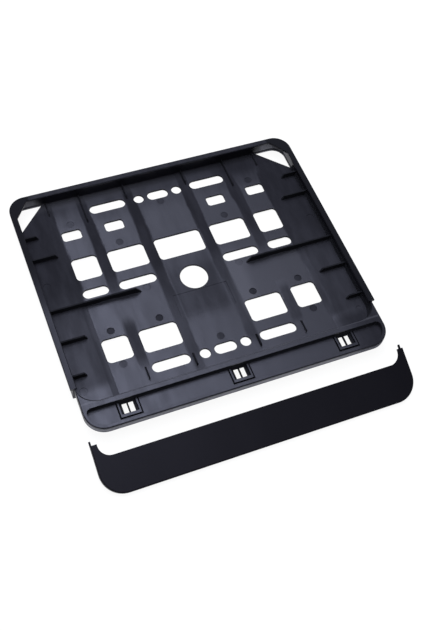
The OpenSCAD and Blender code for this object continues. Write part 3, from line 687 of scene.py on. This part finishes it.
class TrayFinish(bpy.types.PropertyGroup):
    """Colour and gloss of the tray"""

    colour: FloatVectorProperty(
        name="Colour", description="Colour of the tray's plastic", subtype="COLOR",
        default=(0.0060, 0.0058, 0.0085), min=0.0, max=1.0)
    sheen_colour: FloatVectorProperty(
        name="Sheen colour", description="Tint of the tray's reflections", subtype="COLOR",
        default=(0.78, 0.80, 1.0), min=0.0, max=1.0)
    gloss_roughness: FloatProperty(
        name="Roughness of the flats", description="Roughness where the mould is polished",
        default=0.42, min=0.0, max=1.0, subtype="FACTOR")
    dull_roughness: FloatProperty(
        name="Roughness of the bands", description="Roughness of ramps, outer bands, marks and rim",
        default=0.92, min=0.0, max=1.0, subtype="FACTOR")
    cloud_depth: FloatProperty(
        name="Cloudiness", description="How far the roughness wanders over the surface",
        default=0.055, min=0.0, max=0.3)
    # The pale colour paints light and reflections onto the tray; the four levels below set how much in each
    # place.
    painted_light_colour: FloatVectorProperty(
        name="Pale colour", description="Colour of the plastic where it is bleached", subtype="COLOR",
        default=(0.47, 0.475, 0.56), min=0.0, max=1.0)
    # Level of the painted reflection on the shelf's front edge.
    edge_reflection_level: FloatProperty(
        name="Pale edge", description="How far the shelf's front edge is bleached", default=1.0, min=0.0,
        max=1.0, subtype="FACTOR")
    # Level of the painted light on the floor under the top wall and on the pan's edge.
    top_light_level: FloatProperty(
        name="Pale top", description="How far the floor under the top wall is bleached", default=0.055,
        min=0.0, max=1.0, subtype="FACTOR")
    # Level of the painted light on the flats to the right.
    right_light_level: FloatProperty(
        name="Pale right", description="How far the flats to the right are bleached", default=0.06,
        min=0.0, max=1.0, subtype="FACTOR")
    # Level of the painted reflection on the walls at the corner windows.
    wall_reflection_level: FloatProperty(
        name="Pale walls", description="How far the walls at the corner windows are bleached", default=0.22,
        min=0.0, max=1.0, subtype="FACTOR")
    ior: FloatProperty(
        name="Index of refraction", description="Strength of the tray's reflections", default=1.5, min=1.0,
        max=2.0)
    edge_radius: FloatProperty(
        name="Edge radius", description="Rounding that the edges show", default=0.00025, min=0.0, max=0.002,
        subtype="DISTANCE", unit="LENGTH")


class StripFinish(bpy.types.PropertyGroup):
    """Colour and gloss of the clip strip"""

    colour: FloatVectorProperty(
        name="Colour", description="Colour of the strip's plastic", subtype="COLOR",
        default=(0.0026, 0.0022, 0.0034), min=0.0, max=1.0)
    sheen_colour: FloatVectorProperty(
        name="Sheen colour", description="Tint of the strip's reflections", subtype="COLOR",
        default=(0.78, 0.78, 1.0), min=0.0, max=1.0)
    gloss_roughness: FloatProperty(
        name="Roughness", description="Roughness of the strip's face", default=0.75, min=0.0, max=1.0,
        subtype="FACTOR")
    gradient: FloatProperty(
        name="Gradient",
        description="By how much the strip is duller at its right end and glossier at its left",
        default=0.2, min=0.0, max=0.4)
    cloud_depth: FloatProperty(
        name="Cloudiness", description="How far the roughness wanders over the surface",
        default=0.03, min=0.0, max=0.2)
    ior: FloatProperty(
        name="Index of refraction", description="Strength of the strip's reflections", default=1.34, min=1.0,
        max=2.0)
    edge_radius: FloatProperty(
        name="Edge radius", description="Rounding that the edges show", default=0.0003, min=0.0, max=0.002,
        subtype="DISTANCE", unit="LENGTH")


class StudioSettings(bpy.types.PropertyGroup):
    """Table, lamps and camera"""

    table_colour: FloatVectorProperty(
        name="Table colour", description="Colour of the table", subtype="COLOR", default=(0.10, 0.10, 0.10),
        min=0.0, max=1.0)
    table_glow: FloatProperty(
        name="Table level", description="Level at which the table shows to the camera", default=0.93,
        min=0.0, max=1.0)
    room_level: FloatProperty(
        name="Room level", description="Light from the dim room all round", default=0.15, min=0.0, max=1.0)
    key_level: FloatProperty(
        name="Key level", description="Radiance of the softbox overhead", default=5.0, min=0.0, max=20.0)
    left_level: FloatProperty(
        name="Left level", description="Radiance of the softbox to the left", default=3.6, min=0.0, max=20.0)
    back_level: FloatProperty(
        name="Back level", description="Radiance of the softbox behind", default=2.4, min=0.0, max=20.0)
    fill_level: FloatProperty(
        name="Fill level", description="Radiance of the low softboxes at the front", default=0.3, min=0.0,
        max=20.0)
    place: FloatVectorProperty(
        name="Camera place", description="Where the camera stands", subtype="TRANSLATION", unit="LENGTH",
        default=(-0.1478, -0.3006, 0.4849))
    target: FloatVectorProperty(
        name="Camera target", description="What the camera looks at", subtype="TRANSLATION", unit="LENGTH",
        default=(-0.00027, -0.03722, 0.0))
    roll: FloatProperty(
        name="Camera roll", description="Turn of the camera about its own axis", subtype="ANGLE",
        unit="ROTATION", default=math.radians(9.364))
    focal_px: FloatProperty(
        name="Focal length", description="Focal length in pixels of the photograph", default=FOCAL_PX,
        min=1.0)


class HOLDER_OT_tray(bpy.types.Operator):
    """Give the tray its satin plastic"""

    bl_idname = "holder.tray"
    bl_label = "Tray"

    def execute(self, context):
        dress("plate_tray", tray_plastic(context.scene.tray_finish, skin_group()))
        return {"FINISHED"}


class HOLDER_OT_strip(bpy.types.Operator):
    """Give the clip strip its dark, finely grained plastic"""

    bl_idname = "holder.strip"
    bl_label = "Clip strip"

    def execute(self, context):
        dress("clip_strip", strip_plastic(context.scene.strip_finish, skin_group()))
        return {"FINISHED"}


class HOLDER_OT_stage(bpy.types.Operator):
    """Lay the white table, hang the softboxes and set the camera"""

    bl_idname = "holder.stage"
    bl_label = "Stage"

    def execute(self, context):
        settings = context.scene.studio_settings
        bpy.ops.object.select_all(action="DESELECT")
        bpy.ops.mesh.primitive_plane_add(size=TABLE_SIZE, location=(0.0, 0.0, 0.0))
        table = context.object
        table.name = "table"
        table.data.materials.append(white_table(settings))
        studio_world(settings)
        for name, level, azimuth, elevation, away, size in SOFTBOXES:
            softbox(name, azimuth, elevation, away, size, getattr(settings, level))
        studio_camera(settings)
        context.scene.view_settings.view_transform = "Standard"
        return {"FINISHED"}


class HOLDER_PT_panel(bpy.types.Panel):
    """Sidebar panel that lists the steps and their settings"""

    bl_idname = "HOLDER_PT_panel"
    bl_label = "Plate holder"
    bl_space_type = "VIEW_3D"
    bl_region_type = "UI"
    bl_category = "Plate holder"

    def draw(self, context):
        for operator, settings in (("holder.tray", context.scene.tray_finish),
                                   ("holder.strip", context.scene.strip_finish),
                                   ("holder.stage", context.scene.studio_settings)):
            box = self.layout.box()
            box.operator(operator)
            for name in settings.__annotations__:
                box.prop(settings, name)


CLASSES = (TrayFinish, StripFinish, StudioSettings, HOLDER_OT_tray, HOLDER_OT_strip, HOLDER_OT_stage,
           HOLDER_PT_panel)


def dress(node, mat):
    """Puts a material in every slot of a node of the frame."""
    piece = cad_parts.get(node)
    if piece is None:
        raise RuntimeError(f"The frame has no node named {node}")
    for slot in piece.material_slots:
        slot.material = mat


def register():
    """Registers the classes and hangs the settings on the scene."""
    for cls in CLASSES:
        bpy.utils.register_class(cls)
    bpy.types.Scene.tray_finish = PointerProperty(type=TrayFinish)
    bpy.types.Scene.strip_finish = PointerProperty(type=StripFinish)
    bpy.types.Scene.studio_settings = PointerProperty(type=StudioSettings)


def unregister():
    """Takes the settings and the classes away again."""
    del bpy.types.Scene.studio_settings
    del bpy.types.Scene.strip_finish
    del bpy.types.Scene.tray_finish
    for cls in reversed(CLASSES):
        bpy.utils.unregister_class(cls)


def main():
    """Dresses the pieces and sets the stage."""
    register()
    bpy.ops.holder.tray()
    bpy.ops.holder.strip()
    bpy.ops.holder.stage()


if __name__ == "__main__":
    main()
